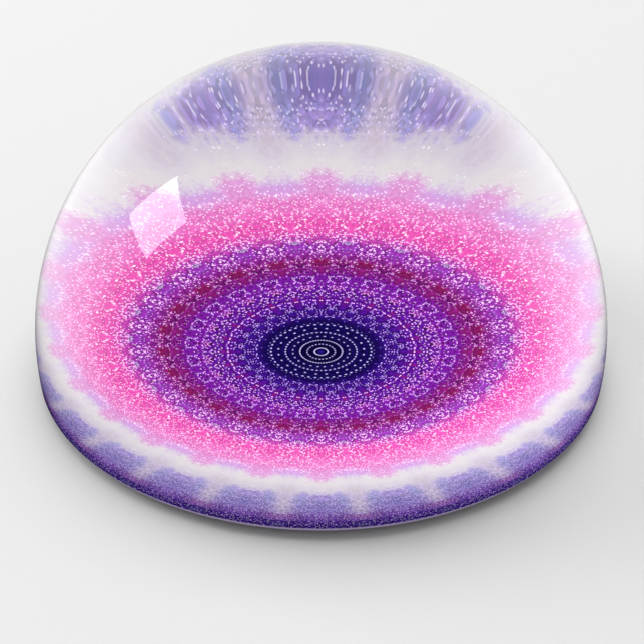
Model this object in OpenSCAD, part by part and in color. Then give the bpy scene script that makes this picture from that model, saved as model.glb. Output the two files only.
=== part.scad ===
// Glass dome paperweight: a solid optical-glass dome with a printed sheet laminated under
// its flat underside, on a thin felt pad. The glass magnifies the sheet.
// Millimetres. +Z is up, and the origin is on the resting surface, under the crown.

/* [Glass dome] */
// Diameter of the flat underside, before its edge is bevelled
base_d = 76; // [40:0.5:120]
// Height of the glass, from its flat underside to its crown
dome_h = 40.3; // [12:0.1:60]
// Width of the small 45 degree bevel ground along the lower edge
edge_bevel = 0.3; // [0.1:0.05:1.5]

/* [Printed sheet] */
// Thickness of the printed sheet
sheet_t = 0.25; // [0.1:0.05:1]
// How far the sheet stops short of the flat that the bevel leaves
sheet_inset = 0.1; // [0.05:0.05:3]
// Thickness of the clear adhesive between the glass and the sheet
clear_adhesive_t = 0.1; // [0.05:0.05:0.5]

/* [Felt pad] */
// Thickness of the felt pad
pad_t = 1; // [0.5:0.1:4]
// How far the pad stops short of the printed sheet's edge
pad_inset = 2.5; // [0.5:0.1:8]
// Thickness of the double-sided adhesive between the sheet and the pad
pad_adhesive_t = 0.15; // [0.05:0.05:0.5]

/* [Hidden] */
$fn = 180;

// The dome is a ball cut flat: the one that passes through the underside's rim and the crown.
base_r = base_d / 2;
ball_r = (base_r * base_r + dome_h * dome_h) / (2 * dome_h);
ball_z = dome_h - ball_r;

// Radii of the laminate, from the glass inwards.
flat_r = base_r - edge_bevel;
sheet_r = flat_r - sheet_inset;
pad_r = sheet_r - pad_inset;

// Heights of the laminate, from the resting surface upwards.
pad_adhesive_z = pad_t;
sheet_z = pad_adhesive_z + pad_adhesive_t;
clear_adhesive_z = sheet_z + sheet_t;
glass_z = clear_adhesive_z + clear_adhesive_t;

// A round layer of the laminate: every one is die-cut, with a square edge.
module layer(z, r, t) {
    translate([0, 0, z]) cylinder(h = t, r = r);
}

// Solid glass. The cone's small end cuts the ball flat, and its 45 degree side grinds the
// bevel: above the bevel the cone lies outside the ball.
module glass_dome() {
    color([0.90, 0.94, 0.96, 0.35])
        translate([0, 0, glass_z])
            intersection() {
                translate([0, 0, ball_z]) sphere(r = ball_r);
                cylinder(h = dome_h, r1 = flat_r, r2 = flat_r + dome_h);
            }
}

// Optically clear film that holds the sheet's whole face to the glass.
module clear_adhesive() {
    color([0.93, 0.95, 0.97, 0.5]) layer(clear_adhesive_z, sheet_r, clear_adhesive_t);
}

// White sheet, printed on its upper face.
module printed_sheet() {
    color([0.62, 0.32, 0.70]) layer(sheet_z, sheet_r, sheet_t);
}

// Double-sided adhesive, die-cut together with the pad.
module pad_adhesive() {
    color([0.85, 0.83, 0.78]) layer(pad_adhesive_z, pad_r, pad_adhesive_t);
}

// Felt pad that the paperweight rests on.
module felt_pad() {
    color([0.12, 0.12, 0.13]) layer(0, pad_r, pad_t);
}

glass_dome();
clear_adhesive();
printed_sheet();
pad_adhesive();
felt_pad();
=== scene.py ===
"""A glass dome paperweight, put together from the top down: the solid glass dome, the clear
adhesive, the printed sheet that it magnifies, the pad's adhesive and the felt pad."""
import math

import bpy
import numpy as np
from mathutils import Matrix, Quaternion, Vector


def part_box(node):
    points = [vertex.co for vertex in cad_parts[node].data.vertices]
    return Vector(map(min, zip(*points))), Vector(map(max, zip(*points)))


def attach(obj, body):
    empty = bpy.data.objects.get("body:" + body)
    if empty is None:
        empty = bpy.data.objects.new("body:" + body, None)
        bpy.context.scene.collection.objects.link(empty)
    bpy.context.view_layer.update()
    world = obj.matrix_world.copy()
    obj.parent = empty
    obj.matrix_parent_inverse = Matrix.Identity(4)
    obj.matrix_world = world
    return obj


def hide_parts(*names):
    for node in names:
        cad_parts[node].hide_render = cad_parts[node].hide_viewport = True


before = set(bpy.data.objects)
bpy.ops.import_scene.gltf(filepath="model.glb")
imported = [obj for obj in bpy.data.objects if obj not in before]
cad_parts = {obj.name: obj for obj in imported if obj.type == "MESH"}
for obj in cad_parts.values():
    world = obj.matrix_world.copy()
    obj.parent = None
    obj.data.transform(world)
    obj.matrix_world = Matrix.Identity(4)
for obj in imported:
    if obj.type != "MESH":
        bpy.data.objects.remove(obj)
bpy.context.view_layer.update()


# ---- Glass dome --------------------------------------------------------------------------
# A solid ball of optical crystal cut flat below, moulded and then ground and polished all
# over. The rim of the cut has a small bevel, so that it doesn't chip.

MM = 0.001
TURN_STEPS = 384        # steps round a disc of the laminate
DOME_STEPS = 448        # and round the dome, whose outline shows most
ARC_POINTS = 200        # from the bevel up to the crown


def revolve(name, profile, steps=TURN_STEPS):
    """Solid of revolution about Z. A profile point (r, z) turned through the angle a lies at
    x = r cos a, y = r sin a, at its own height z. The profile runs outwards and upwards from
    the axis to the axis again, and its two end points close as poles."""
    profile = np.asarray(profile, float)
    angle = np.linspace(0, 2 * math.pi, steps, endpoint=False)
    r, z = profile[1:-1, 0], profile[1:-1, 1]
    rings = np.stack([np.outer(r, np.cos(angle)), np.outer(r, np.sin(angle)),
                      np.repeat(z[:, None], steps, 1)], -1).reshape(-1, 3)
    points = np.vstack([[0, 0, profile[0, 1]], rings, [0, 0, profile[-1, 1]]])
    here = np.arange(steps)
    on = (here + 1) % steps
    first = 1 + steps * np.arange(len(r) - 1)[:, None]
    quads = np.stack([first + here, first + on, first + steps + on, first + steps + here], -1)
    last = len(points) - 1
    top = 1 + steps * (len(r) - 1)
    below = np.stack([np.zeros_like(here), 1 + on, 1 + here], -1)
    above = np.stack([np.full_like(here, last), top + here, top + on], -1)
    mesh = bpy.data.meshes.new(name)
    mesh.from_pydata(points.tolist(), [],
                     below.tolist() + quads.reshape(-1, 4).tolist() + above.tolist())
    mesh.update()
    piece = bpy.data.objects.new(name, mesh)
    bpy.context.scene.collection.objects.link(piece)
    mesh.shade_smooth()
    mesh.set_sharp_from_angle(angle=math.radians(30))
    return piece


def linear(code):
    """The linear (r, g, b, 1) of an sRGB hex colour."""
    parts = [int(code[i:i + 2], 16) / 255 for i in (1, 3, 5)]
    return [p / 12.92 if p <= 0.04045 else ((p + 0.055) / 1.055) ** 2.4 for p in parts] + [1]


def add(tree, kind, settings, *values, **named):
    """Adds a shader node. Settings are its properties; values go to its inputs in order, where
    None leaves one alone, and named ones go to the input of that name. A value is a number, a
    vector, a colour, a node or an output."""
    node = tree.nodes.new("ShaderNode" + kind)
    for key, setting in settings.items():
        setattr(node, key, setting)
    sockets = [socket for socket in node.inputs if socket.enabled]
    wanted = list(zip(sockets, values))
    wanted += [(node.inputs[key], value) for key, value in named.items()]
    for socket, value in wanted:
        if isinstance(value, bpy.types.Node):
            value = next(output for output in value.outputs if output.enabled)
        if isinstance(value, bpy.types.NodeSocket):
            tree.links.new(value, socket)
        elif value is not None:
            socket.default_value = value
    return node


def new_material(name):
    """An empty material with a Principled shader: (material, its tree, the shader)."""
    material = bpy.data.materials.new(name)
    material.use_nodes = True
    tree = material.node_tree
    return material, tree, tree.nodes["Principled BSDF"]


CRYSTAL_IOR = 1.636     # a dense crystal glass

# Crystal, polished: no tint at this thickness, mirror-smooth, and a high index, which is what
# lifts the far side of the picture up into the crown.
crystal, tree, shader = new_material("optical_crystal_polished")
shader.inputs["Base Color"].default_value = (1, 1, 1, 1)
shader.inputs["Transmission Weight"].default_value = 1.0
shader.inputs["Roughness"].default_value = 0.0
shader.inputs["IOR"].default_value = CRYSTAL_IOR

low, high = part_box("glass_dome")
ball_r = (high.x - low.x) / 2
under_z = low.z
ball_z = high.z - ball_r
base_r = math.sqrt(ball_r ** 2 - (ball_z - under_z) ** 2)
bevel = 0.3 * MM
flat_r = base_r - bevel
# where the 45 degree bevel meets the ball, a bevel's width above the cut
bevel_top = math.asin((under_z + bevel - ball_z) / ball_r)
arc = np.linspace(bevel_top, math.pi / 2, ARC_POINTS)
dome_profile = [(0, under_z), (flat_r, under_z)]
dome_profile += [(ball_r * math.cos(t), ball_z + ball_r * math.sin(t)) for t in arc]
glass_dome = revolve("glass_dome_polished", dome_profile, DOME_STEPS)
glass_dome.data.materials.append(crystal)
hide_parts("glass_dome")
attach(glass_dome, "root")


# ---- Printed sheet -----------------------------------------------------------------------
# White coated paper, with a glittery ring pattern printed in inkjet colours on its upper face.
# The clear adhesive wets it to the glass, so no air shows between the ink and the dome.

low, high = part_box("printed_sheet")
sheet_r, sheet_low = (high.x - low.x) / 2, low.z
# the print stands this far into the glass, through the adhesive, as if wetted to it: that is what
# lets it be seen with no air between
contact = 0.02 * MM
EYE_FORWARD = 0.3       # how far in front of the sheet's middle the pattern's eye lies, in mm
SECTORS = 24            # the pattern's kaleidoscope: 24 sectors, each mirrored down its middle

# Coated paper: white and slightly glossy, but the only face of it in sight is its cut edge. That is
# drawn a greyish lilac in place of white: painted shade under the dome's rim, tinted with the lilac
# of the print.
coated_paper, tree, shader = new_material("coated_paper_white")
shader.inputs["Base Color"].default_value = linear("#9C8CB0")
shader.inputs["Roughness"].default_value = 0.45

# Inkjet print, wetted by the adhesive: strong flat colours, with no shine of its own.
ink, tree, shader = new_material("inkjet_print_on_coated_paper")
shader.inputs["Specular IOR Level"].default_value = 0.0
shader.inputs["Roughness"].default_value = 1.0

# Places on the sheet in millimetres: the radius, how far across a half sector (0 on its spoke,
# 1 midway between two spokes), and the point folded into the one half sector that repeats.
place = add(tree, "TexCoord", {})
flat = add(tree, "VectorMath", {"operation": "MULTIPLY_ADD"}, place.outputs["Object"],
           (1 / MM, 1 / MM, 0), (0, EYE_FORWARD, 0))
radius = add(tree, "VectorMath", {"operation": "LENGTH"}, flat)
axes = add(tree, "SeparateXYZ", {}, flat)
angle = add(tree, "Math", {"operation": "ARCTAN2"}, axes.outputs["Y"], axes.outputs["X"])
folded_angle = add(tree, "Math", {"operation": "PINGPONG"}, angle, math.pi / SECTORS)
across = add(tree, "Math", {"operation": "MULTIPLY"}, folded_angle, SECTORS / math.pi)
cosine = add(tree, "Math", {"operation": "COSINE"}, folded_angle)
sine = add(tree, "Math", {"operation": "SINE"}, folded_angle)
unit = add(tree, "CombineXYZ", {}, cosine, sine, 0.0)
folded = add(tree, "VectorMath", {"operation": "SCALE"}, unit, Scale=radius)

# Settings for the nodes that recur: a product, a smooth fall from 0 to 1 between two values, which
# are given in the order (where it is 0, where it is 1), and a mix of two colours.
MULTIPLY = {"operation": "MULTIPLY"}
SMOOTH = {"interpolation_type": "SMOOTHSTEP"}
COLOUR = {"data_type": "RGBA"}

# Soft lumps about 1 mm across, and glitter flakes, let one ring run raggedly into the next. The
# real glitter is finer: its flakes are drawn as coarse as they need to be to show.
FLAKE = 0.2             # a flake's width in mm
lumps = add(tree, "TexNoise", {"noise_dimensions": "2D"}, folded, Scale=0.9, Detail=3.0,
            Roughness=0.65)
lumps_mm = add(tree, "Math", {"operation": "MULTIPLY_ADD"}, lumps, 2.4, -1.2)
half_turn = add(tree, "Math", MULTIPLY, across, math.pi)
wave = add(tree, "Math", {"operation": "COSINE"}, half_turn)
flakes = add(tree, "TexVoronoi", {"voronoi_dimensions": "2D"}, folded, Scale=1 / FLAKE)
flake = add(tree, "SeparateColor", {}, flakes.outputs["Color"])
ragged = add(tree, "Math", {"operation": "MULTIPLY_ADD"}, flake.outputs["Blue"], 0.6, -0.3)


def away(value, centre):
    """How far value is from centre, either way."""
    difference = add(tree, "Math", {"operation": "SUBTRACT"}, value, centre)
    return add(tree, "Math", {"operation": "ABSOLUTE"}, difference)


def near(value, centre, full, gone):
    """1 where value is within full of centre, falling smoothly to 0 where it is gone away."""
    return add(tree, "MapRange", SMOOTH, away(value, centre), gone, full, 0.0, 1.0)


def by_radius(colours):
    """A colour ramp along the ragged radius: each printed ring's colour is full at the ring's own
    place, and eases into the next."""
    share = add(tree, "Math", {"operation": "DIVIDE"}, ring_radius, places[-1])
    ramp = add(tree, "ValToRGB", {}, share)
    ramp.color_ramp.interpolation = "EASE"
    elements = ramp.color_ramp.elements
    elements[0].color, elements[1].color = colours[0], colours[-1]
    for mm, tint in list(zip(places, colours))[1:-1]:
        elements.new(mm / places[-1]).color = tint
    return ramp


def lay(under, over, *shares):
    """One ink laid on another. How much of it shows is the product of these shares."""
    share = shares[0]
    for other in shares[1:]:
        share = add(tree, "Math", MULTIPLY, share, other)
    return add(tree, "Mix", COLOUR, share, under, over)


def patch(under, code, share, ring, reach, turn, spread):
    """A soft patch in every half sector: strongest at this ring radius and place across, and gone
    at the reach in millimetres and the spread across."""
    near_ring = near(radius_lumpy, ring, 0.0, reach)
    near_turn = near(turn_lumpy, turn, 0.0, spread)
    return lay(under, linear(code), near_ring, near_turn, share)


strays = add(tree, "Math", {"operation": "ADD"}, lumps_mm, ragged)
radius_lumpy = add(tree, "Math", {"operation": "ADD"}, radius, strays)
turn_back = add(tree, "Math", {"operation": "SUBTRACT"}, across, 0.25)
turn_lumpy = add(tree, "Math", {"operation": "MULTIPLY_ADD"}, lumps, 0.5, turn_back)
# the pink ends in scallops, one to a sector, 0.8 mm either way
scallop = add(tree, "Math", MULTIPLY, near(radius, 23.3, 0.0, 3.5), wave)
ring_radius = add(tree, "Math", {"operation": "MULTIPLY_ADD"}, scallop, -0.8, radius_lumpy)

# The printed rings from the middle out. Each row has the radius in millimetres where the ring is
# at its fullest, its ink, the second ink among its flakes and the ink of its sparkles, and then how
# far its flakes swing in brightness, the share of cells that sparkle and the second ink's share.
PRINTED_RINGS = [
    (0, "#060322", "#1C1478", "#DCD4F8", 0.30, 0.00, 0.00),     # navy
    (4, "#0C0536", "#241890", "#C8BCFA", 0.40, 0.04, 0.15),     # navy, with the first glitter
    (6, "#28085A", "#341890", "#C49CF4", 0.55, 0.24, 0.30),     # indigo
    (8, "#480872", "#4420A8", "#F0B8FC", 0.65, 0.32, 0.40),     # purple
    (11, "#60147E", "#8C2CA8", "#F4BCFA", 0.65, 0.30, 0.40),    # plum
    (13, "#6A1868", "#942040", "#E89CE0", 0.50, 0.16, 0.20),    # crimson
    (15, "#802890", "#8C3CC4", "#FCD0FC", 0.55, 0.40, 0.35),    # orchid
    (18, "#D24CA0", "#E84CA4", "#FFE8F8", 0.20, 0.32, 0.30),    # hot pink
    (20, "#D86EB6", "#E86CC0", "#FFECFA", 0.15, 0.32, 0.25),    # rose
    (22, "#D698CE", "#E49CD8", "#FAECF8", 0.08, 0.25, 0.10),    # blush
    (24, "#DCD8DA", "#DCD8DA", "#F0EEF2", 0.01, 0.02, 0.00),    # white paper left bare
    (26, "#D6D0DA", "#D6D0DA", "#F0EEF2", 0.01, 0.02, 0.00),    # the same, with a breath of lilac
    (28, "#B29AD6", "#8C9CE0", "#ECE4FA", 0.22, 0.22, 0.25),    # lavender
    (31, "#967EC4", "#7E8ED4", "#E4DAFA", 0.35, 0.30, 0.25),    # lilac
    (33.5, "#7448A8", "#5C3CC0", "#E0D0FA", 0.55, 0.30, 0.20),  # violet
    (36, "#300E6E", "#3424A8", "#D4C6F6", 0.70, 0.30, 0.20),    # deep violet
]
places, inks, second_inks, sparkle_inks, swings, lit_shares, second_shares = zip(*PRINTED_RINGS)
colour = by_radius([linear(code) for code in inks])

# Patches, which repeat round each ring: crimson lobes, blue and magenta flecks, grey-blue chips,
# a lilac edge to the pink, and the blue and violet of the outer lobes.
colour = patch(colour, "#701446", 0.9, 13.0, 1.9, 0.0, 0.75)
colour = patch(colour, "#661050", 0.8, 8.0, 1.0, 0.0, 0.5)
colour = patch(colour, "#661050", 0.7, 9.6, 0.9, 0.9, 0.45)
colour = patch(colour, "#3C1888", 0.5, 11.0, 1.2, 0.5, 0.4)
colour = patch(colour, "#8488A8", 0.7, 15.6, 0.7, 1.0, 0.35)
colour = patch(colour, "#C090D8", 0.7, 22.4, 1.5, 1.0, 0.9)
colour = patch(colour, "#7870B8", 0.6, 29.8, 3.2, 0.0, 0.7)
colour = patch(colour, "#8C98C8", 0.6, 28.6, 2.6, 0.6, 0.3)

# Pale gaps between the lavender lobes, each with a magenta blush at its outer end and a blue
# fleck further out.
gap_inner = add(tree, "MapRange", SMOOTH, radius_lumpy, 25.2, 26.2, 0.0, 1.0)
gap_outer = add(tree, "MapRange", SMOOTH, radius_lumpy, 34.2, 30.6, 0.0, 1.0)
gap_middle = add(tree, "MapRange", SMOOTH, turn_lumpy, 0.55, 0.98, 0.0, 1.0)
colour = lay(colour, linear("#D0C4D0"), gap_inner, gap_outer, gap_middle, 0.8)
colour = patch(colour, "#9850A0", 0.7, 33.4, 1.5, 1.0, 0.6)
colour = patch(colour, "#7078A8", 0.55, 36.0, 0.8, 1.0, 0.3)

# The glitter's three measures at each radius, carried as a colour: swing in red, the share that
# sparkles in green and the second ink's share in blue.
glitter = add(tree, "SeparateColor", {},
              by_radius([(*shares, 1.0) for shares in zip(swings, lit_shares, second_shares)]))
swing = add(tree, "Math", {"operation": "MULTIPLY_ADD"}, flake.outputs["Red"], 2.0, -1.0)
gain = add(tree, "Math", {"operation": "MULTIPLY_ADD"}, swing, glitter.outputs["Red"], 1.0)
grey = add(tree, "CombineColor", {}, gain, gain, gain)
colour = add(tree, "Mix", {"data_type": "RGBA", "blend_type": "MULTIPLY"}, 1.0, colour, grey)
second = add(tree, "MapRange", SMOOTH, flake.outputs["Green"], 0.3, 1.0, 0.0, 1.0)
second_colour = by_radius([linear(code) for code in second_inks])
colour = lay(colour, second_colour, second, glitter.outputs["Blue"])

sparkle_colour = by_radius([linear(code) for code in sparkle_inks])


def sparkles(under, scale, size, most):
    """Bright dots, one at most in each cell: this many cells to a millimetre, the dot's radius as
    a share of a cell, and how many times the usual share of cells may hold one."""
    cells = add(tree, "TexVoronoi", {"voronoi_dimensions": "2D"}, folded, Scale=scale)
    chance = add(tree, "SeparateColor", {}, cells.outputs["Color"])
    lit_share = add(tree, "Math", MULTIPLY, glitter.outputs["Green"], most)
    lit = add(tree, "Math", {"operation": "LESS_THAN"}, chance.outputs["Blue"], lit_share)
    dot = add(tree, "MapRange", SMOOTH, cells.outputs["Distance"], size, size * 0.55, 0.0, 1.0)
    shine = add(tree, "Math", {"operation": "MULTIPLY_ADD"}, chance.outputs["Red"], 0.7, 0.4)
    return lay(under, sparkle_colour, dot, lit, shine)


colour = sparkles(colour, 5.2, 0.36, 0.8)
colour = sparkles(colour, 3.6, 0.30, 1.0)
colour = sparkles(colour, 2.1, 0.26, 0.6)


# The eye of the pattern: a violet spot in one fine ring, inside evenly spaced rings of dots.
def dot_ring(ring, size, stretch, count, turn):
    """Dots of this radius (mm), stretched along the ring, at a ring radius. turn is 0.5 for a dot
    on the first spoke, or 0 for one half a step on."""
    step = add(tree, "Math", {"operation": "MULTIPLY_ADD"}, angle, count / (2 * math.pi),
               turn + count)
    off = away(add(tree, "Math", {"operation": "FRACT"}, step), 0.5)
    along = add(tree, "Math", MULTIPLY, off, ring * 2 * math.pi / count / stretch)
    apart = add(tree, "CombineXYZ", {}, away(radius, ring), along, 0.0)
    distance = add(tree, "VectorMath", {"operation": "LENGTH"}, apart)
    return add(tree, "MapRange", SMOOTH, distance, size * 1.4, size * 0.5, 0.0, 1.0)


EYE_RINGS = 6
EYE_PITCH = 0.6         # from one ring of dots to the next, in millimetres
EYE_INK = linear("#BEB6EE")
halo = add(tree, "MapRange", SMOOTH, radius, 0.45, 0.05, 0.0, 1.0)
colour = lay(colour, linear("#241888"), halo, 0.7)
colour = lay(colour, EYE_INK, near(radius, EYE_PITCH, 0.02, 0.08), 0.8)
for n in range(2, EYE_RINGS + 2):
    # every other ring has twice the dots, and the dots grow a little on the way out
    count = SECTORS * (1 + n % 2)
    dots = dot_ring(n * EYE_PITCH, 0.05 + 0.004 * n, 1.5, count, 0.5 * (n % 2))
    colour = lay(colour, EYE_INK, dots, 0.8)

tree.links.new(colour.outputs[2], shader.inputs["Base Color"])

ink_z = under_z + contact
sheet_profile = [(0, sheet_low), (sheet_r, sheet_low), (sheet_r, ink_z), (0, ink_z)]
printed_sheet = revolve("printed_sheet_bonded", sheet_profile)
printed_sheet.data.materials.append(coated_paper)
printed_sheet.data.materials.append(ink)
slots = np.zeros(len(printed_sheet.data.polygons), np.int32)
slots[-TURN_STEPS:] = 1     # the upper face's triangles come last
printed_sheet.data.polygons.foreach_set("material_index", slots)
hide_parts("printed_sheet")
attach(printed_sheet, "root")

# ---- Clear adhesive ----------------------------------------------------------------------
# A film of clear adhesive that bonds the sheet to the dome's cut face, cured under pressure. Its
# edge bulges slightly and stops a hair's breadth short of the paper's in places.


def ragged_rim(piece, depth, waves, seed):
    """Moves a disc's rim in by up to depth. A point at radius r and angle a goes to
    r - depth (r / rim)^12 (1 + w) / 2, where w is the mean of sines of a at these wave counts,
    each with its own random phase."""
    count = len(piece.data.vertices)
    points = np.empty(count * 3)
    piece.data.vertices.foreach_get("co", points)
    points = points.reshape(count, 3)
    reach = np.hypot(points[:, 0], points[:, 1])
    turn = np.arctan2(points[:, 1], points[:, 0])
    phases = np.random.default_rng(seed).uniform(0, 2 * math.pi, len(waves))
    swell = np.mean([np.sin(turn * n + phase) for n, phase in zip(waves, phases)], 0)
    shrink = 1 - depth * (reach / reach.max()) ** 12 * (1 + swell) / 2 / reach.max()
    points[:, :2] *= shrink[:, None]
    piece.data.vertices.foreach_set("co", points.ravel())
    piece.data.update()


# Acrylic adhesive, cured clear: glossy where its edge shows. It is drawn opaque, in the greyish
# lilac that the print and the paper behind it give it, painted on and darkened as painted shade
# under the dome's rim.
clear_glue, tree, shader = new_material("acrylic_adhesive_clear")
shader.inputs["Roughness"].default_value = 0.12
shader.inputs["IOR"].default_value = 1.49
cure = add(tree, "TexNoise", {}, add(tree, "TexCoord", {}).outputs["Object"], Scale=900.0, Detail=2.0)
# the film's colour: the print seen through it, painted on, and painted shade, varying at random
glue_painted_shade_tint = add(tree, "ValToRGB", {}, cure)
glue_painted_shade_tint.color_ramp.elements[0].color = linear("#8C849A")
glue_painted_shade_tint.color_ramp.elements[1].color = linear("#A49CB0")
tree.links.new(glue_painted_shade_tint.outputs["Color"], shader.inputs["Base Color"])

low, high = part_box("clear_adhesive")
glue_r = (high.x - low.x) / 2
bulge = 0.03 * MM
glue_profile = [(0, low.z), (glue_r - bulge, low.z), (glue_r, (low.z + high.z) / 2)]
glue_profile += [(glue_r - bulge, high.z), (0, high.z)]
clear_adhesive = revolve("clear_adhesive_film", glue_profile)
ragged_rim(clear_adhesive, 0.05 * MM, (5, 9, 14, 31), 3)
clear_adhesive.data.materials.append(clear_glue)
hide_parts("clear_adhesive")
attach(clear_adhesive, "root")


# ---- Pad adhesive ------------------------------------------------------------------------
# A die-cut disc of double-sided tape that holds the felt to the back of the sheet.

# Double-sided tape: a milky film, a little cloudy from the tissue inside it, with a soft shine.
tape, tree, shader = new_material("double_sided_tape_tissue")
shader.inputs["Roughness"].default_value = 0.35
tape_place = add(tree, "TexCoord", {})
tissue = add(tree, "TexNoise", {}, tape_place.outputs["Object"], Scale=1400.0, Detail=4.0,
             Distortion=1.5)
tape_tint = add(tree, "ValToRGB", {}, tissue)
tape_tint.color_ramp.elements[0].color = linear("#C9C3B4")
tape_tint.color_ramp.elements[1].color = linear("#E4DFD2")
tree.links.new(tape_tint.outputs["Color"], shader.inputs["Base Color"])

low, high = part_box("pad_adhesive")
tape_r = (high.x - low.x) / 2
tape_profile = [(0, low.z), (tape_r, low.z), (tape_r, high.z), (0, high.z)]
pad_adhesive = revolve("pad_adhesive_tape", tape_profile)
ragged_rim(pad_adhesive, 0.12 * MM, (3, 7, 12, 26), 5)
pad_adhesive.data.materials.append(tape)
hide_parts("pad_adhesive")
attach(pad_adhesive, "root")


# ---- Felt pad ----------------------------------------------------------------------------
# The charcoal felt that the paperweight stands on: pressed wool felt, die-cut a little smaller
# than the sheet, so it stays out of sight. Its cut edge is soft and slightly uneven.

# Pressed wool felt: matt, with matted fibres a few hundredths of a millimetre thick, mixed from
# lighter and darker wool, and a soft sheen where fibres stand up.
felt, tree, shader = new_material("wool_felt_pressed")
shader.inputs["Roughness"].default_value = 0.95
shader.inputs["Sheen Weight"].default_value = 0.4
shader.inputs["Sheen Roughness"].default_value = 0.6
shader.inputs["Specular IOR Level"].default_value = 0.2
wool_place = add(tree, "TexCoord", {})
fibres = add(tree, "TexNoise", {}, wool_place.outputs["Object"], Scale=3000.0, Detail=5.0,
             Distortion=2.5)
tufts = add(tree, "TexNoise", {}, wool_place.outputs["Object"], Scale=420.0, Detail=3.0)
wool_mix = add(tree, "Math", {"operation": "MULTIPLY_ADD"}, tufts, 0.5,
               add(tree, "Math", {"operation": "MULTIPLY"}, fibres, 0.5))
wool_tint = add(tree, "ValToRGB", {}, wool_mix)
wool_tint.color_ramp.elements[0].position = 0.35
wool_tint.color_ramp.elements[0].color = linear("#1B1B1E")
wool_tint.color_ramp.elements[1].position = 0.7
wool_tint.color_ramp.elements[1].color = linear("#4A494D")
tree.links.new(wool_tint.outputs["Color"], shader.inputs["Base Color"])
nap = add(tree, "Bump", {}, Strength=0.7, Distance=0.08 * MM, Height=wool_mix)
tree.links.new(nap.outputs["Normal"], shader.inputs["Normal"])

low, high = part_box("felt_pad")
pad_r = (high.x - low.x) / 2
soft = 0.12 * MM        # how far the pad's two edges are rounded over
pinch = 0.06 * MM       # how far the die drew the middle of the cut in
turned = np.linspace(0, math.pi / 2, 5)
pad_profile = [(0, low.z), (pad_r / 2, low.z)]
pad_profile += [(pad_r - soft + soft * math.sin(t), low.z + soft - soft * math.cos(t)) for t in turned]
pad_profile += [(pad_r - pinch, (low.z + high.z) / 2)]
pad_profile += [(pad_r - soft + soft * math.cos(t), high.z - soft + soft * math.sin(t)) for t in turned]
pad_profile += [(pad_r / 2, high.z), (0, high.z)]
felt_pad = revolve("felt_pad_die_cut", pad_profile)
ragged_rim(felt_pad, 0.3 * MM, (4, 11, 23, 47, 90, 131), 11)
felt_pad.data.materials.append(felt)
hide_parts("felt_pad")
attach(felt_pad, "root")


# ---- Stage -------------------------------------------------------------------------------
# A plain pale floor, a soft studio light all round, and three softboxes: a window-like one on the
# left that the glass mirrors, a large one beside it, and the key overhead.
FLOOR_HALF = 3          # metres
floor_mesh = bpy.data.meshes.new("floor")
corners = [(x * FLOOR_HALF, y * FLOOR_HALF, 0) for x, y in ((-1, -1), (1, -1), (1, 1), (-1, 1))]
floor_mesh.from_pydata(corners, [], [(0, 1, 2, 3)])
floor = bpy.data.objects.new("floor", floor_mesh)
bpy.context.scene.collection.objects.link(floor)
paint, tree, shader = new_material("floor_matt_white")
shader.inputs["Base Color"].default_value = (0.35, 0.35, 0.35, 1)
shader.inputs["Roughness"].default_value = 1.0
shader.inputs["Specular IOR Level"].default_value = 0.0
floor_mesh.materials.append(paint)
floor.visible_glossy = False

# The room gives even white light. Polished surfaces mirror it only low down and towards the
# back and sides, where the pale walls stand: above and in front they mirror a dark room.
ROOM_LIGHT = 1.05
world = bpy.data.worlds.new("studio")
bpy.context.scene.world = world
world.use_nodes = True
tree = world.node_tree
way = add(tree, "SeparateXYZ", {}, add(tree, "TexCoord", {}).outputs["Generated"])
backward = add(tree, "MapRange", SMOOTH, way.outputs["Y"], -0.25, 0.35, 0.0, 1.0)
below_top = add(tree, "MapRange", SMOOTH, way.outputs["Z"], 0.7, 0.05, 0.0, 1.0)
above_foot = add(tree, "MapRange", SMOOTH, way.outputs["Z"], -0.6, -0.2, 0.0, 1.0)
to_side = add(tree, "MapRange", SMOOTH, away(way.outputs["X"], 0.0), 0.1, 0.6, 0.0, 1.0)
walls = add(tree, "Math", {"operation": "MULTIPLY_ADD"}, to_side, 0.5, 0.8)
for share in (backward, below_top, above_foot):
    walls = add(tree, "Math", MULTIPLY, walls, share)
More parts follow.
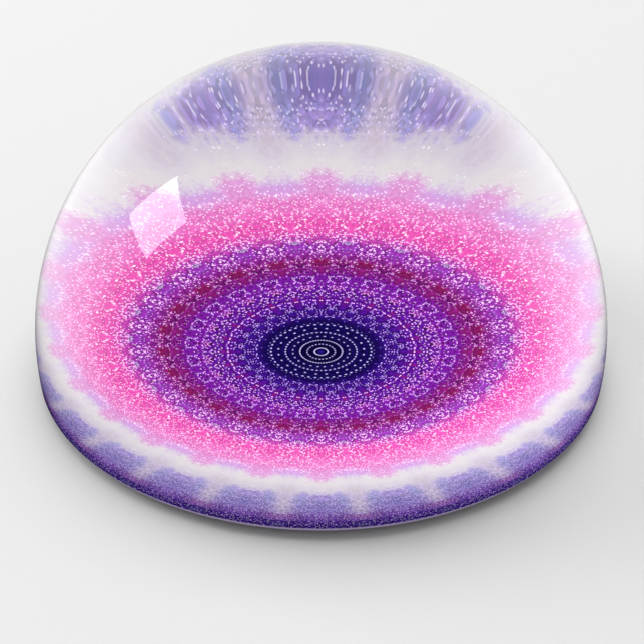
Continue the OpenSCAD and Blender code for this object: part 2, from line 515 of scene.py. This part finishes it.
# a ray bent through the glass counts as a glossy one too, so it is told apart last
ray = add(tree, "LightPath", {})
mirrored = add(tree, "Mix", {"data_type": "FLOAT"}, ray.outputs["Is Glossy Ray"], ROOM_LIGHT, walls)
strength = add(tree, "Mix", {"data_type": "FLOAT"}, ray.outputs["Is Transmission Ray"], mirrored,
               ROOM_LIGHT)
tree.links.new(strength.outputs[0], tree.nodes["Background"].inputs["Strength"])
tree.nodes["Background"].inputs["Color"].default_value = (1, 1, 1, 1)


LAMP_AIM = Vector((-18, -19, 31)) * MM      # the place on the dome that the lamps face


def softbox(name, azimuth, elevation, distance, width, height, roll, radiance, seen):
    """A rectangular lamp that faces the dome, seen from it at this azimuth in degrees (0 is +Y, 90
    is +X) and elevation, with sizes in metres. seen says whether polished surfaces mirror it."""
    data = bpy.data.lights.new(name, "AREA")
    data.shape = "RECTANGLE"
    data.size, data.size_y = width, height
    data.energy = radiance * math.pi * width * height
    lamp = bpy.data.objects.new(name, data)
    bpy.context.scene.collection.objects.link(lamp)
    a, e = math.radians(azimuth), math.radians(elevation)
    out = Vector((math.sin(a) * math.cos(e), math.cos(a) * math.cos(e), math.sin(e)))
    lamp.location = LAMP_AIM + out * distance
    lamp.rotation_mode = "QUATERNION"
    lamp.rotation_quaternion = out.to_track_quat("Z", "Y") @ Quaternion((0, 0, 1), math.radians(roll))
    lamp.visible_glossy = seen


softbox("softbox_window", -80, 34.1, 0.6, 0.224, 0.196, 7.45, 4.3, True)
softbox("softbox_side", -66, 33, 1.8, 1.4, 1.4, 0, 4.4, False)
softbox("softbox_key", 12, 75, 2.0, 1.6, 1.6, 0, 6.0, False)

CAMERA_BACK = 132.17 * MM       # in front of the dome's axis, and above its flat underside
CAMERA_UP = 86.93 * MM
CAMERA_DOWN = 32.382            # degrees below level
camera_data = bpy.data.cameras.new("camera")
camera_data.sensor_width = 36
camera_data.lens = 64.0
camera_data.shift_x = 0.0012
camera = bpy.data.objects.new("camera", camera_data)
bpy.context.scene.collection.objects.link(camera)
camera.location = (0, -CAMERA_BACK, CAMERA_UP + under_z)
camera.rotation_euler = (math.radians(90 - CAMERA_DOWN), 0, 0)
camera_data.clip_start = 0.01
bpy.context.scene.camera = camera
bpy.context.scene.view_settings.view_transform = "Standard"
